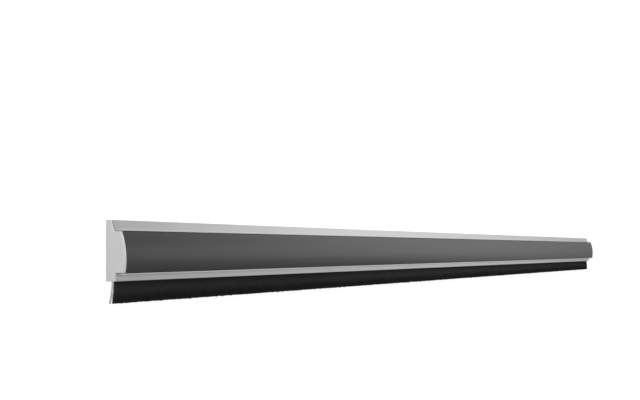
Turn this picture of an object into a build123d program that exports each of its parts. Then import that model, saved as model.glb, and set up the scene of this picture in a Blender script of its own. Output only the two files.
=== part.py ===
from build123d import *
import os

# Brush draught strip for the foot of a door, in millimetres, lying on its back.
# X runs along the strip, +Y is its plain edge, -Y its bristle tips and +Z its show side.
# Each cross-section is drawn in (height, depth): height runs in +Y from the carrier's
# bristle edge, and depth runs in +Z from the back face that is screwed to the door.

# Overall sizes
strip_length = 1000.0
profile_height = 30.0
brush_reach = 10.8

# Carrier: one aluminium extrusion
back_wall = 1.2
flange_top_depth = 2.75
flange_slope_run = 1.3
flange_slope_drop = 4.5
flange_wall = 1.15
upper_lip_thickness = 0.95
upper_lip_reach = 8.7
foot_height = 3.2
foot_depth = 5.8
lower_lip_thickness = 0.75
lower_lip_reach = 10.9
edge_radius = 0.25
lip_edge_radius = 0.15

# Brush slot in the carrier's foot, open towards the floor
brush_slot_width = 3.9
brush_slot_height = 2.4
brush_slot_setback = 0.15
brush_neck_width = 2.0
brush_clearance = 0.1

# Bristle pack
pack_clearance = 0.2
pack_tip_spread = 0.2

# Snap ribs that hold the cover
rib_thickness = 1.0
rib_depth = 3.4
bead_size = 0.35
bead_drop = 0.3

# Cover: one dark strip that clips over the screws
cover_radius = 36.5
cover_upper_depth = 8.6
cover_lower_depth = 10.7
cover_thickness = 1.1
cover_edge_gap = 0.3
leg_side_gap = 2.3
leg_thickness = 0.9
leg_clearance = 0.15
leg_end_gap = 0.8

# Screw slots through the back wall
screw_slot_count = 6
screw_slot_end_distance = 50.0
screw_slot_length = 8.0
screw_slot_width = 4.2

# End caps: moulded plates with a hollow plug
cap_thickness = 1.5
cap_rim_radius = 0.2
cap_corner_radius = 0.4
cap_joint_gap = 0.5
cap_joint_gap_depth = 1.2
cap_ledge_gap = 0.25
plug_length = 10.0
plug_wall = 1.0
plug_clearance = 0.15
plug_lead_in = 0.4

# Places worked out from the sizes above
carrier_length = strip_length - 2 * cap_thickness
bristle_edge_y = brush_reach - (profile_height + brush_reach) / 2
upper_lip_top = profile_height - flange_slope_drop
channel_top = upper_lip_top - upper_lip_thickness
channel_floor = foot_height + lower_lip_thickness
channel_middle = (channel_top + channel_floor) / 2
slot_centre_depth = foot_depth / 2 - brush_slot_setback
neck_height = foot_height - brush_slot_height
rib_top_depth = back_wall + rib_depth
above_cover = 2 * lower_lip_reach
screw_slot_span = strip_length - 2 * screw_slot_end_distance
screw_slot_pitch = screw_slot_span / (screw_slot_count - 1)

# How far an edge's middle must be in front of the back face to count as lying off it
edge_tolerance = 0.01


def box_2d(low_height, high_height, low_depth, high_depth):
    """A rectangle of the cross-section."""
    centre = Pos((low_height + high_height) / 2, (low_depth + high_depth) / 2)
    return centre * Rectangle(high_height - low_height, high_depth - low_depth)


def outline(*points):
    """A straight-sided face of the cross-section."""
    return make_face(Polyline(*points, close=True))


def rounded(section, corners, radius):
    """The section with the corners nearest to the given points rounded."""
    picked = [section.vertices().sort_by_distance(Vector(*corner, 0))[0] for corner in corners]
    return fillet(picked, radius)


def along(section, start, length):
    """The section pushed along the strip from start."""
    plane = Plane(origin=(start, bristle_edge_y, 0), x_dir=(0, 1, 0), z_dir=(1, 0, 0))
    return extrude(plane * section, amount=length)


def flange_depth_at(height):
    """Depth of the sloping flange face at a height."""
    return flange_top_depth + (profile_height - height) * flange_slope_run / flange_slope_drop


def cover_disc(inset):
    """The disc whose edge is the crown of the cover, made smaller by inset."""
    low = Vector(channel_floor + cover_edge_gap, cover_lower_depth)
    high = Vector(channel_top - cover_edge_gap, cover_upper_depth)
    chord = high - low
    outwards = Vector(-chord.Y, chord.X).normalized()
    sagitta_leg = (cover_radius**2 - (chord.length / 2) ** 2) ** 0.5
    centre = (low + high) / 2 - outwards * sagitta_leg
    return Pos(centre.X, centre.Y) * Circle(cover_radius - inset)


def crown(low_height, high_height, inset):
    """The part of the cover's disc between two heights, in front of the back face."""
    return cover_disc(inset) & box_2d(low_height, high_height, 0, above_cover)


def brush_slot():
    """The T-shaped slot in the foot, chamber and neck."""
    half_width = brush_slot_width / 2
    chamber = box_2d(
        neck_height, foot_height, slot_centre_depth - half_width, slot_centre_depth + half_width
    )
    half_neck = brush_neck_width / 2
    neck = box_2d(0, neck_height, slot_centre_depth - half_neck, slot_centre_depth + half_neck)
    return chamber + neck


def leg_back_height(side):
    """Height of a cover leg's back, which faces the channel's side wall."""
    wall = channel_top if side > 0 else channel_floor
    return wall - side * leg_side_gap


def rib_face_height(side):
    """Height of a rib's outer face, which faces a leg of the cover."""
    return leg_back_height(side) - side * (leg_thickness + leg_clearance + bead_size)


def snap_rib(side):
    """One rib on the back wall, with a bead on the side away from the middle."""
    outer_face = rib_face_height(side)
    inner_face = outer_face - side * rib_thickness
    bead_tip = outer_face + side * bead_size
    bead_top = rib_top_depth - bead_drop
    return outline(
        (inner_face, 0),
        (inner_face, rib_top_depth),
        (outer_face, rib_top_depth),
        (bead_tip, bead_top),
        (bead_tip, bead_top - bead_size),
        (outer_face, bead_top - 2 * bead_size),
        (outer_face, 0),
    )


def snap_leg(side):
    """One leg of the cover, outside a rib, with a barb behind the rib's bead."""
    leg_back = leg_back_height(side)
    leg_face = leg_back - side * leg_thickness
    leg_end = back_wall + leg_end_gap
    barb_top = rib_top_depth - bead_drop - 2 * bead_size - leg_clearance
    leg = outline(
        (leg_face, above_cover),
        (leg_face, barb_top),
        (leg_face - side * bead_size, barb_top - bead_size),
        (leg_face - side * bead_size, leg_end + bead_size),
        (leg_face, leg_end),
        (leg_back, leg_end),
        (leg_back, above_cover),
    )
    return leg & cover_disc(cover_thickness / 2)


def carrier_section():
    """Back wall, flange with its lip, foot with the brush slot, lower lip and ribs."""
    back = box_2d(0, profile_height, 0, back_wall)
    flange = outline(
        (channel_top, 0),
        (profile_height, 0),
        (profile_height, flange_top_depth),
        (upper_lip_top, flange_depth_at(upper_lip_top)),
        (channel_top, flange_depth_at(channel_top)),
    )
    upper_lip = box_2d(channel_top, upper_lip_top, back_wall, upper_lip_reach)
    pocket_top = profile_height - back_wall
    pocket = outline(
        (channel_top, back_wall),
        (pocket_top, back_wall),
        (pocket_top, flange_depth_at(pocket_top) - flange_wall),
        (channel_top, flange_depth_at(channel_top) - flange_wall),
    )
    foot = box_2d(0, foot_height, 0, foot_depth)
    lower_lip = box_2d(foot_height, channel_floor, 0, lower_lip_reach)
    section = back + flange + upper_lip - pocket + foot + lower_lip - brush_slot()
    section = section + snap_rib(-1) + snap_rib(1)
    outer_corners = [
        (0, 0),
        (0, foot_depth),
        (profile_height, flange_top_depth),
        (profile_height, 0),
    ]
    lip_corners = [
        (foot_height, lower_lip_reach),
        (channel_floor, lower_lip_reach),
        (channel_top, upper_lip_reach),
        (upper_lip_top, upper_lip_reach),
    ]
    section = rounded(section, outer_corners, edge_radius)
    return rounded(section, lip_corners, lip_edge_radius)


def screw_slots():
    """The row of slots through the back wall, between the ribs."""
    slot_y = bristle_edge_y + channel_middle
    middle = (screw_slot_count - 1) / 2
    slot = extrude(SlotOverall(screw_slot_length, screw_slot_width), amount=back_wall)
    return [
        Pos((index - middle) * screw_slot_pitch, slot_y, 0) * slot
        for index in range(screw_slot_count)
    ]


def carrier_profile():
    """The extrusion with its screw slots."""
    return along(carrier_section(), -carrier_length / 2, carrier_length) - screw_slots()


def cover_strip():
    """The crowned cover with its two snap legs."""
    low_edge = channel_floor + cover_edge_gap
    high_edge = channel_top - cover_edge_gap
    shell = crown(low_edge, high_edge, 0) - cover_disc(cover_thickness)
    section = shell + snap_leg(-1) + snap_leg(1)
    return along(section, -carrier_length / 2, carrier_length)


def brush_backing():
    """The plastic spine that slides into the slot and carries the bristles."""
    half_width = brush_slot_width / 2 - brush_clearance
    section = box_2d(
        neck_height + brush_clearance,
        foot_height - brush_clearance,
        slot_centre_depth - half_width,
        slot_centre_depth + half_width,
    )
    return along(section, -carrier_length / 2, carrier_length)


def brush_bristles():
    """The bristle pack as one tapering slab, from the spine down to the tips."""
    root = brush_neck_width / 2 - pack_clearance
    tip = root + pack_tip_spread
    section = outline(
        (neck_height + brush_clearance, slot_centre_depth - root),
        (0, slot_centre_depth - root),
        (-brush_reach, slot_centre_depth - tip),
        (-brush_reach, slot_centre_depth + tip),
        (0, slot_centre_depth + root),
        (neck_height + brush_clearance, slot_centre_depth + root),
    )
    return along(section, -carrier_length / 2, carrier_length)


def cap_outline():
    """The cap's face: it follows the flange, the cover's crown and the foot."""
    low_ledge = channel_floor + cap_ledge_gap
    high_ledge = channel_top - cap_ledge_gap
    flange = outline(
        (high_ledge, 0),
        (profile_height, 0),
        (profile_height, flange_top_depth),
        (high_ledge, flange_depth_at(high_ledge)),
    )
    foot = box_2d(0, low_ledge, 0, foot_depth)
    face = foot + crown(low_ledge, high_ledge, 0) + flange
    show_corners = [(0, foot_depth), (profile_height, flange_top_depth)]
    return rounded(face, show_corners, cap_corner_radius)


def joint_gap():
    """The part of the section in front of the gap between the cap's slope and the carrier's."""
    return outline(
        (upper_lip_top, flange_depth_at(upper_lip_top) - cap_joint_gap_depth),
        (profile_height, flange_top_depth - cap_joint_gap_depth),
        (profile_height, above_cover),
        (upper_lip_top, above_cover),
    )


def cap_plate(side):
    """The cap's plate, with a rounded outer rim and a narrow gap beside the carrier's slope."""
    joint = side * carrier_length / 2
    plate = along(cap_outline(), joint, side * cap_thickness)
    outer_edges = plate.faces().sort_by(Axis.X)[0 if side < 0 else -1].edges()
    rim = outer_edges.filter_by_position(Axis.Z, edge_tolerance, above_cover)
    return fillet(rim, cap_rim_radius) - along(joint_gap(), joint, side * cap_joint_gap)


def plug_section():
    """The hollow plug between the ribs, the back wall and the cover."""
    space = box_2d(
        rib_face_height(-1) + rib_thickness + plug_clearance,
        rib_face_height(1) - rib_thickness - plug_clearance,
        back_wall + plug_clearance,
        above_cover,
    )
    solid = space & cover_disc(cover_thickness + plug_clearance)
    hollow = offset(solid, amount=-plug_wall, kind=Kind.INTERSECTION)
    return solid - hollow


def end_cap(side):
    """One moulded end cap: a plate over the end and a plug that pushes into it."""
    plug = along(plug_section(), side * carrier_length / 2, -side * plug_length)
    plug_end = plug.faces().sort_by(Axis.X)[-1 if side < 0 else 0]
    plug = chamfer(plug_end.outer_wire().edges(), plug_lead_in)
    return cap_plate(side) + plug


pieces = {
    "carrier_profile": carrier_profile(),
    "cover_strip": cover_strip(),
    "brush_backing": brush_backing(),
    "brush_bristles": brush_bristles(),
    "end_cap_left": end_cap(-1),
    "end_cap_right": end_cap(1),
}

os.makedirs("parts", exist_ok=True)
for name, piece in pieces.items():
    piece.label = name
    export_step(piece, f"parts/{name}.step")
    print(name, round(piece.volume), "mm3")
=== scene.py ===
import math
import random

import bpy
from mathutils import Matrix, Vector, noise


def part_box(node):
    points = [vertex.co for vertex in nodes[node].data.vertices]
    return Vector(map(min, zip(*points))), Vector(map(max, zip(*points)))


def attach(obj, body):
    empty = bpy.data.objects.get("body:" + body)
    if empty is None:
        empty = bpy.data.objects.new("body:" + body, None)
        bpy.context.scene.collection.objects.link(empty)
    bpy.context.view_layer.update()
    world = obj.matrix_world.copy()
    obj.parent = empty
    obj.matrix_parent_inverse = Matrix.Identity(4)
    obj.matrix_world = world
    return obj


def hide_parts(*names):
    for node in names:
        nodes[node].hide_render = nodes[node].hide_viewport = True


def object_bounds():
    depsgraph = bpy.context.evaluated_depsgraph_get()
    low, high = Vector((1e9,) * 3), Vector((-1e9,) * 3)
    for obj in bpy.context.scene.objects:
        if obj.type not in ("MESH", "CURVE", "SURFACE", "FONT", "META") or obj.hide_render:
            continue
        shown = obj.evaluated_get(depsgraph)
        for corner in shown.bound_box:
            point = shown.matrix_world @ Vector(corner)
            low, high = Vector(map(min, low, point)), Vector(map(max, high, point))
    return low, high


# A brush draught strip lying on its back: X runs along it, +Y is its plain edge, -Y its bristle tips
# and +Z its show side. All sizes are in metres, written in millimetres times MM.
MM = 0.001
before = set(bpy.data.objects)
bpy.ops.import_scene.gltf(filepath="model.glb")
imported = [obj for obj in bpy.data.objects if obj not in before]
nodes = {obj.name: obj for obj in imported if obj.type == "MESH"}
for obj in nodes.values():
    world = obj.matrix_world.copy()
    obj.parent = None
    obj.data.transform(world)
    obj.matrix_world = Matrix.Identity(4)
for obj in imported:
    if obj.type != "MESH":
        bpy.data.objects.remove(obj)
cad_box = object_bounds()
random.seed(7)

# Camera of the photograph, measured from the strip's near end, with its angle in radians.
# The picture's up is the strip's +Y.
PICTURE_WIDTH = 640
FOCAL_PIXELS = 1055.65
EYE_LINE_BELOW_MIDDLE = 49.0
SENSOR_WIDTH = 36.0
CAMERA_DOWN_ANGLE = 0.4728
NEAR_END_AHEAD = 512.8 * MM
NEAR_END_LEFT = 104.0 * MM
EYE_ABOVE_BRISTLE_EDGE = 15.76 * MM

# Studio: a white backdrop, and a grey ceiling that turns darker across the strip, towards the brush
BACKDROP_TOP_ANGLE = math.radians(3)
CEILING_START_ANGLE = math.radians(9)
CEILING_TURN_ANGLE = math.radians(20)
BACKDROP_LIGHT = 1.0
CEILING_LIGHT = 0.31
BRUSH_SIDE_CEILING_LIGHT = 0.12

# Studio: a white floor just under the strip, and soft boxes as places, sizes and watts
FLOOR_REACH = 6.0
FLOOR_GAP = 0.2 * MM
FLOOR_GLOW = 0.9
OVERHEAD_PLACE = (-0.7, 0, 1.6)
OVERHEAD_SIZE = (1.0, 1.2)
OVERHEAD_WATTS = 5
SIDE_PLACE = (0, 1.6, 0.9)
SIDE_SIZE = (2.0, 1.2)
SIDE_WATTS = 27
FAR_PLACE = (1.6, 0.25, 1.4)
FAR_SIZE = (0.7, 2.0)
FAR_WATTS = 3.45
CORNER_PLACE = (1.6, 0.8, 0.4)
CORNER_SIZE = (0.4, 0.6)
CORNER_WATTS = 2.2
NEAR_PLACE = (-1.6, 0.3, 0.8)
NEAR_SIZE = (1.2, 1.2)
NEAR_WATTS = 9.5

# Filaments of the brush: they stand in rows, which spread from the slot to the trimmed tips
FILAMENT_DIAMETER = 0.2 * MM
FILAMENT_PITCH = 0.25 * MM
FILAMENT_ROWS = 7
FILAMENT_SIDES = 3
FILAMENT_STEPS = 2
LOOSE_FILAMENT_STEPS = 6
FILAMENT_LEAN = 0.12 * MM
TIP_UNEVENNESS = 0.12 * MM
PACK_ROOT_THICKNESS = 1.6 * MM
BRUSH_STRETCHES = 4

# Tufts of the brush: neighbours lean together, and are trimmed together
TUFT_WIDTH = 3.0 * MM
TUFT_LEAN = 0.35 * MM
TUFT_TRIM_WIDTH = 2.2 * MM
TUFT_UNEVENNESS = 0.5 * MM

# Ends of the brush: the pack flares outwards there, and a few filaments hang loose
END_FLARE = 1.4 * MM
END_FLARE_REACH = 4.0 * MM
LOOSE_END_SLANT = 1.45
LOOSE_END_SHARE = 0.12
LOOSE_END_LEAN = 1.8 * MM


def linear(hex_colour):
    """An sRGB hex colour as linear red, green, blue and alpha."""
    channels = [int(hex_colour[i : i + 2], 16) / 255 for i in (1, 3, 5)]
    return [c / 12.92 if c <= 0.04045 else ((c + 0.055) / 1.055) ** 2.4 for c in channels] + [1.0]


def add_node(tree, kind, settings=None, links=None):
    """One node with its settings and inputs, where a node and an output name make a link."""
    made = tree.nodes.new(kind)
    for key, value in (settings or {}).items():
        setattr(made, key, value)
    for key, value in (links or {}).items():
        if isinstance(value, tuple) and isinstance(value[0], bpy.types.Node):
            tree.links.new(value[0].outputs[value[1]], made.inputs[key])
        else:
            made.inputs[key].default_value = value
    return made


def new_material(name, metallic=0.0, ior=1.5):
    """An empty material, its node tree and its shader."""
    material = bpy.data.materials.new(name)
    material.use_nodes = True
    tree = material.node_tree
    shader = tree.nodes["Principled BSDF"]
    shader.inputs["Metallic"].default_value = metallic
    shader.inputs["IOR"].default_value = ior
    return material, tree, shader


def place_camera():
    """The camera of the photograph, rolled so that the lying strip stands upright in the picture."""
    forward = Vector((math.cos(CAMERA_DOWN_ANGLE), 0, -math.sin(CAMERA_DOWN_ANGLE)))
    right = Vector((math.sin(CAMERA_DOWN_ANGLE), 0, math.cos(CAMERA_DOWN_ANGLE)))
    up = Vector((0, 1, 0))
    low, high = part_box("carrier_profile")
    near_end = Vector((cad_box[0].x, low.y, 0))
    place = near_end - forward * NEAR_END_AHEAD + right * NEAR_END_LEFT + up * EYE_ABOVE_BRISTLE_EDGE
    data = bpy.data.cameras.new("camera")
    data.sensor_width = SENSOR_WIDTH
    data.lens = SENSOR_WIDTH * FOCAL_PIXELS / PICTURE_WIDTH
    data.shift_y = EYE_LINE_BELOW_MIDDLE / PICTURE_WIDTH
    data.clip_start = 0.01
    data.clip_end = 50
    camera = bpy.data.objects.new("camera", data)
    turn = Matrix((right, up, -forward)).transposed().to_4x4()
    camera.matrix_world = Matrix.Translation(place) @ turn
    bpy.context.scene.collection.objects.link(camera)
    bpy.context.scene.camera = camera


def seen_directly(tree):
    """A node that is 1 for rays from the camera, off gloss and through glass, and otherwise 0."""
    path = add_node(tree, "ShaderNodeLightPath")
    gloss = add_node(
        tree,
        "ShaderNodeMath",
        {"operation": "MAXIMUM"},
        {0: (path, "Is Camera Ray"), 1: (path, "Is Glossy Ray")},
    )
    return add_node(
        tree,
        "ShaderNodeMath",
        {"operation": "MAXIMUM"},
        {0: (gloss, "Value"), 1: (path, "Is Transmission Ray")},
    )


def white_floor():
    """The floor: it shows white with a faint shadow, and lights the strip as white paper does."""
    material = bpy.data.materials.new("white_paper_floor")
    material.use_nodes = True
    tree = material.node_tree
    tree.nodes.remove(tree.nodes["Principled BSDF"])
    white = linear("#ffffff")
    paper = add_node(tree, "ShaderNodeBsdfDiffuse", {}, {"Color": linear("#f4f4f4")})
    glow = add_node(tree, "ShaderNodeEmission", {}, {"Color": white, "Strength": FLOOR_GLOW})
    # The glow alone is nearly white, and the grey that is added to it takes the strip's shadow.
    shade = add_node(tree, "ShaderNodeBsdfDiffuse", {}, {"Color": linear("#898989")})
    shown = add_node(tree, "ShaderNodeAddShader", {}, {0: (glow, "Emission"), 1: (shade, "BSDF")})
    mixed = add_node(
        tree,
        "ShaderNodeMixShader",
        {},
        {0: (seen_directly(tree), "Value"), 1: (paper, "BSDF"), 2: (shown, "Shader")},
    )
    tree.links.new(mixed.outputs["Shader"], tree.nodes["Material Output"].inputs["Surface"])
    mesh = bpy.data.meshes.new("floor")
    corner_sides = [(-1, -1), (1, -1), (1, 1), (-1, 1)]
    corners = [(x * FLOOR_REACH, y * FLOOR_REACH, -FLOOR_GAP) for x, y in corner_sides]
    mesh.from_pydata(corners, [], [(0, 1, 2, 3)])
    mesh.materials.append(material)
    plane = bpy.data.objects.new("floor", mesh)
    bpy.context.scene.collection.objects.link(plane)


def room():
    """The room: a white backdrop all round, which fades upwards into the grey ceiling."""
    made = bpy.data.worlds.new("studio")
    made.use_nodes = True
    tree = made.node_tree
    place = add_node(tree, "ShaderNodeTexCoord")
    direction = add_node(tree, "ShaderNodeSeparateXYZ", {}, {"Vector": (place, "Generated")})
    # The ceiling turns darker within this angle of the upright plane along the strip.
    ceiling = add_node(
        tree,
        "ShaderNodeMapRange",
        {"interpolation_type": "SMOOTHSTEP"},
        {
            "Value": (direction, "Y"),
            "From Min": -math.sin(CEILING_TURN_ANGLE),
            "From Max": math.sin(CEILING_TURN_ANGLE),
            "To Min": BRUSH_SIDE_CEILING_LIGHT,
            "To Max": CEILING_LIGHT,
        },
    )
    light = add_node(
        tree,
        "ShaderNodeMapRange",
        {"interpolation_type": "SMOOTHSTEP"},
        {
            "Value": (direction, "Z"),
            "From Min": math.sin(BACKDROP_TOP_ANGLE),
            "From Max": math.sin(CEILING_START_ANGLE),
            "To Min": BACKDROP_LIGHT,
            "To Max": (ceiling, "Result"),
        },
    )
    sky = tree.nodes["Background"]
    sky.inputs["Color"].default_value = linear("#ffffff")
    tree.links.new(light.outputs["Result"], sky.inputs["Strength"])
    bpy.context.scene.world = made


def soft_box(name, place, target, size, watts):
    """A rectangular lamp at a place, turned to a target."""
    data = bpy.data.lights.new(name, "AREA")
    data.shape = "RECTANGLE"
    data.size, data.size_y = size
    data.energy = watts
    made = bpy.data.objects.new(name, data)
    made.location = place
    made.rotation_euler = (Vector(target) - Vector(place)).to_track_quat("-Z", "Y").to_euler()
    made.visible_camera = False
    bpy.context.scene.collection.objects.link(made)


def lamps():
    """Soft boxes over the strip, beside its plain edge and past both ends."""
    soft_box("overhead_box", OVERHEAD_PLACE, (*OVERHEAD_PLACE[:2], 0), OVERHEAD_SIZE, OVERHEAD_WATTS)
    soft_box("side_box", SIDE_PLACE, (0, 0, 0), SIDE_SIZE, SIDE_WATTS)
    soft_box("far_end_box", FAR_PLACE, (0, *FAR_PLACE[1:]), FAR_SIZE, FAR_WATTS)
    soft_box("far_corner_box", CORNER_PLACE, (0, *CORNER_PLACE[1:]), CORNER_SIZE, CORNER_WATTS)
    soft_box("near_end_box", NEAR_PLACE, (0, *NEAR_PLACE[1:]), NEAR_SIZE, NEAR_WATTS)


def sized_pattern(tree, place, size, detail):
    """A soft random pattern whose patches have a real size along X, Y and Z."""
    fitted = add_node(
        tree,
        "ShaderNodeMapping",
        {"vector_type": "TEXTURE"},
        {"Vector": (place, "Object"), "Scale": size},
    )
    return add_node(
        tree,
        "ShaderNodeTexNoise",
        {},
        {"Vector": (fitted, "Vector"), "Scale": 1.0, "Detail": detail},
    )


def sawn_ends(tree, place):
    """A node that is 1 on faces square to the strip's length, where the saw left bare rough metal."""
    least_facing = 0.9
    facing = add_node(tree, "ShaderNodeSeparateXYZ", {}, {"Vector": (place, "Normal")})
    along = add_node(tree, "ShaderNodeMath", {"operation": "ABSOLUTE"}, {0: (facing, "X")})
    return add_node(
        tree,
        "ShaderNodeMath",
        {"operation": "GREATER_THAN"},
        {0: (along, "Value"), 1: least_facing},
    )


def natural_anodised_aluminium():
    """Aluminium extrusion, natural anodised: a satin light grey metal with faint die lines along it."""
    material, tree, shader = new_material("natural_anodised_aluminium", metallic=1.0)
    place = add_node(tree, "ShaderNodeTexCoord")
    # Die lines are about 0.1 mm apart, too fine to show: they are drawn 0.7 mm apart and 200 mm long.
    lines = sized_pattern(tree, place, (200 * MM, 0.7 * MM, 0.7 * MM), 2.0)
    # Anodising leaves slow changes of tone some 60 mm long.
    clouds = sized_pattern(tree, place, (60 * MM, 12 * MM, 12 * MM), 1.0)
    anodised = add_node(
        tree,
        "ShaderNodeMix",
        {"data_type": "RGBA"},
        {"Factor": (lines, "Fac"), "A": linear("#d3d3d3"), "B": linear("#d9d9d9")},
    )
    sawn = sawn_ends(tree, place)
    tone = add_node(
        tree,
        "ShaderNodeMix",
        {"data_type": "RGBA"},
        {"Factor": (sawn, "Value"), "A": (anodised, "Result"), "B": linear("#b6b6b6")},
    )
    tree.links.new(tone.outputs["Result"], shader.inputs["Base Color"])
    satin = add_node(
        tree,
        "ShaderNodeMapRange",
        {},
        {"Value": (clouds, "Fac"), "To Min": 0.3, "To Max": 0.37},
    )
    sawn_extra_roughness = 0.2
    dulled = add_node(
        tree,
        "ShaderNodeMath",
        {"operation": "MULTIPLY_ADD"},
        {0: (sawn, "Value"), 1: sawn_extra_roughness, 2: (satin, "Result")},
    )
    tree.links.new(dulled.outputs["Value"], shader.inputs["Roughness"])
    relief = add_node(
        tree, "ShaderNodeBump", {}, {"Height": (lines, "Fac"), "Strength": 0.25, "Distance": 0.01 * MM}
    )
    tree.links.new(relief.outputs["Normal"], shader.inputs["Normal"])
    return material


def extruded_grey_vinyl():
    """Rigid vinyl, extruded: a dark grey satin plastic, with faint lines along it and a soft sheen."""
    material, tree, shader = new_material("extruded_dark_grey_vinyl", ior=1.53)
    place = add_node(tree, "ShaderNodeTexCoord")
    # The lines of the die are about 0.2 mm apart, drawn 0.9 mm apart so that they show.
    lines = sized_pattern(tree, place, (300 * MM, 0.9 * MM, 0.9 * MM), 2.0)
    # Vinyl cools with a slight mottle, in patches about 16 mm long and 6 mm wide.
    mottle = sized_pattern(tree, place, (16 * MM, 6 * MM, 6 * MM), 2.0)
    tone = add_node(
        tree,
        "ShaderNodeMix",
        {"data_type": "RGBA"},
        {"Factor": (mottle, "Fac"), "A": linear("#282828"), "B": linear("#2d2d2d")},
    )
    tree.links.new(tone.outputs["Result"], shader.inputs["Base Color"])
    satin = add_node(
        tree,
        "ShaderNodeMapRange",
        {},
        {"Value": (mottle, "Fac"), "To Min": 0.29, "To Max": 0.34},
    )
    tree.links.new(satin.outputs["Result"], shader.inputs["Roughness"])
    relief = add_node(
        tree, "ShaderNodeBump", {}, {"Height": (lines, "Fac"), "Strength": 0.2, "Distance": 0.01 * MM}
    )
    tree.links.new(relief.outputs["Normal"], shader.inputs["Normal"])
    return material


def moulded_grey_abs():
    """ABS, injection moulded in a spark-eroded mould: light grey with an even, fine-grained satin."""
    material, tree, shader = new_material("moulded_light_grey_abs", ior=1.53)
    place = add_node(tree, "ShaderNodeTexCoord")
    # The grain is about 0.15 mm across, drawn 0.5 mm across so that it shows.
    grain = add_node(
        tree,
        "ShaderNodeTexNoise",
        {},
        {"Vector": (place, "Object"), "Scale": 1 / (0.5 * MM), "Detail": 2.0},
    )
    # The melt leaves a faint change of tone over about 10 mm.
    flow = add_node(
        tree,
        "ShaderNodeTexNoise",
        {},
        {"Vector": (place, "Object"), "Scale": 1 / (10 * MM), "Detail": 1.0},
    )
    tone = add_node(
        tree,
        "ShaderNodeMix",
        {"data_type": "RGBA"},
        {"Factor": (flow, "Fac"), "A": linear("#c4c4c4"), "B": linear("#cacaca")},
    )
    tree.links.new(tone.outputs["Result"], shader.inputs["Base Color"])
    satin = add_node(
        tree,
        "ShaderNodeMapRange",
        {},
        {"Value": (grain, "Fac"), "To Min": 0.42, "To Max": 0.54},
    )
    tree.links.new(satin.outputs["Result"], shader.inputs["Roughness"])
    relief = add_node(
        tree, "ShaderNodeBump", {}, {"Height": (grain, "Fac"), "Strength": 0.3, "Distance": 0.015 * MM}
    )
    tree.links.new(relief.outputs["Normal"], shader.inputs["Normal"])
    return material


def extruded_black_polypropylene():
    """Polypropylene, extruded: the brush's black spine, waxy and plain, with faint lines along it."""
    material, tree, shader = new_material("extruded_black_polypropylene", ior=1.49)
    place = add_node(tree, "ShaderNodeTexCoord")
    # Lines about 0.3 mm apart, drawn as they are: the spine only shows from close by.
    lines = sized_pattern(tree, place, (150 * MM, 0.3 * MM, 0.3 * MM), 2.0)
    tone = add_node(
        tree,
        "ShaderNodeMix",
        {"data_type": "RGBA"},
        {"Factor": (lines, "Fac"), "A": linear("#161616"), "B": linear("#1d1d1d")},
    )
    tree.links.new(tone.outputs["Result"], shader.inputs["Base Color"])
    satin = add_node(
        tree,
        "ShaderNodeMapRange",
        {},
        {"Value": (lines, "Fac"), "To Min": 0.4, "To Max": 0.5},
    )
    tree.links.new(satin.outputs["Result"], shader.inputs["Roughness"])
    return material


def drawn_black_nylon():
    """Nylon, drawn into filament: near black with a soft shine, in tufts of slightly different tone."""
    material, tree, shader = new_material("drawn_black_nylon", ior=1.53)
    place = add_node(tree, "ShaderNodeTexCoord")
    # The tone changes about every 1.5 mm along the strip, and a filament keeps its own from end to end.
    tufts = sized_pattern(tree, place, (1.5 * MM, 40 * MM, 40 * MM), 3.0)
    nylon = add_node(
        tree,
        "ShaderNodeMix",
        {"data_type": "RGBA"},
        {"Factor": (tufts, "Fac"), "A": linear("#121212"), "B": linear("#2a2a2a")},
    )
    # Painted light: the filaments are painted lighter at their roots, as where more light falls on the
    # brush, and this fades out some 5 mm beyond the foot.
    painted_light_reach = 5 * MM
    across = add_node(tree, "ShaderNodeSeparateXYZ", {}, {"Vector": (place, "Object")})
    root_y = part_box("carrier_profile")[0].y
    painted_root_light = add_node(
        tree,
        "ShaderNodeMapRange",
        {},
        {"Value": (across, "Y"), "From Min": root_y - painted_light_reach, "From Max": root_y, "To Max": 1.0},
    )
    tone = add_node(
        tree,
        "ShaderNodeMix",
        {"data_type": "RGBA"},
        {"Factor": (painted_root_light, "Result"), "A": (nylon, "Result"), "B": linear("#3c3c3c")},
    )
    tree.links.new(tone.outputs["Result"], shader.inputs["Base Color"])
    satin = add_node(
        tree,
        "ShaderNodeMapRange",
        {},
        {"Value": (tufts, "Fac"), "To Min": 0.5, "To Max": 0.65},
    )
    tree.links.new(satin.outputs["Result"], shader.inputs["Roughness"])
    return material


def finish_cad_pieces():
    """The finishes of the carrier, the cover, the caps and the brush's spine."""
    finishes = {
        natural_anodised_aluminium(): ["carrier_profile"],
        extruded_grey_vinyl(): ["cover_strip"],
        moulded_grey_abs(): ["end_cap_left", "end_cap_right"],
        extruded_black_polypropylene(): ["brush_backing"],
    }
    for material, names in finishes.items():
        for name in names:
            nodes[name].data.materials.clear()
            nodes[name].data.materials.append(material)


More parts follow.
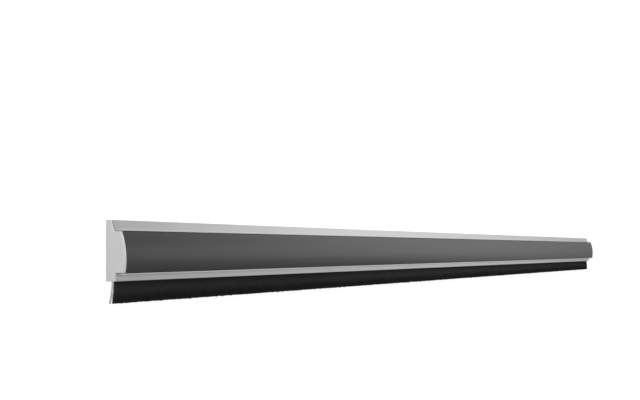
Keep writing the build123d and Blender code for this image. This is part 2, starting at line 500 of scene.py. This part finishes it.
def filament_line(x, row, low, high):
    """The points of one filament from root to tip, or None where the brush's end is thinned out."""
    end_x = high.x if x > 0 else low.x
    to_end = abs(end_x - x)
    middle_z = (low.z + high.z) / 2
    row_place = 2 * row / (FILAMENT_ROWS - 1) - 1
    root_z = middle_z + row_place * (PACK_ROOT_THICKNESS - FILAMENT_DIAMETER) / 2
    tip_z = middle_z + row_place * (high.z - low.z - FILAMENT_DIAMETER) / 2
    # The pack is cut off at a slant: its back rows end first, with a few loose filaments beyond them.
    loose = to_end < LOOSE_END_SLANT * (high.z - tip_z)
    if loose and random.random() > LOOSE_END_SHARE:
        return None
    tuft = noise.noise(Vector((x / TUFT_WIDTH, 0, 0)))
    flare = END_FLARE * math.exp(-to_end / END_FLARE_REACH)
    stray = loose * random.uniform(0, LOOSE_END_LEAN)
    lean = TUFT_LEAN * tuft + random.gauss(0, FILAMENT_LEAN) + math.copysign(flare + stray, end_x)
    trim = TUFT_UNEVENNESS * noise.noise(Vector((0, 0, x / TUFT_TRIM_WIDTH)))
    tip_y = low.y + trim + random.uniform(-TIP_UNEVENNESS, TIP_UNEVENNESS / 2)
    root = Vector((x, high.y, root_z))
    tip = Vector((x + lean, tip_y, tip_z + random.gauss(0, FILAMENT_LEAN / 2)))
    steps = LOOSE_FILAMENT_STEPS if loose else FILAMENT_STEPS
    line = []
    for step in range(steps + 1):
        share = step / steps
        line.append(root.lerp(tip, share) - Vector((lean * share * (1 - share), 0, 0)))
    return line


def add_filament(vertices, faces, line):
    """One filament as a thin prism round its line, closed at both ends."""
    first = len(vertices)
    for point in line:
        for side in range(FILAMENT_SIDES):
            angle = 2 * math.pi * side / FILAMENT_SIDES
            around = Vector((math.cos(angle), 0, math.sin(angle))) * FILAMENT_DIAMETER / 2
            vertices.append(point + around)
    for ring in range(len(line) - 1):
        for side in range(FILAMENT_SIDES):
            a = first + ring * FILAMENT_SIDES + side
            b = first + ring * FILAMENT_SIDES + (side + 1) % FILAMENT_SIDES
            faces.append((a, b, b + FILAMENT_SIDES, a + FILAMENT_SIDES))
    last = first + (len(line) - 1) * FILAMENT_SIDES
    faces.append(tuple(range(first + FILAMENT_SIDES - 1, first - 1, -1)))
    faces.append(tuple(range(last, last + FILAMENT_SIDES)))


def brush_stretch(index, first_x, last_x, low, high, material):
    """The filaments of one stretch of the brush, joined into one mesh."""
    vertices = []
    faces = []
    columns = round((last_x - first_x) / FILAMENT_PITCH)
    for column in range(columns):
        for row in range(FILAMENT_ROWS):
            stagger = 0.25 + 0.5 * (row % 2)
            line = filament_line(first_x + (column + stagger) * FILAMENT_PITCH, row, low, high)
            if line:
                add_filament(vertices, faces, line)
    mesh = bpy.data.meshes.new(f"brush_filaments_{index}")
    mesh.from_pydata(vertices, [], faces)
    mesh.materials.append(material)
    mesh.shade_smooth()
    piece = bpy.data.objects.new(mesh.name, mesh)
    bpy.context.scene.collection.objects.link(piece)
    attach(piece, "root")
    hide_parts("brush_bristles")


def brush():
    """The brush in several stretches, end to end."""
    low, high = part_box("brush_bristles")
    material = drawn_black_nylon()
    stretch = (high.x - low.x) / BRUSH_STRETCHES
    for index in range(BRUSH_STRETCHES):
        start = low.x + index * stretch
        brush_stretch(index + 1, start, start + stretch, low, high, material)


place_camera()
white_floor()
room()
lamps()
finish_cad_pieces()
brush()

bpy.context.scene.view_settings.view_transform = "Standard"
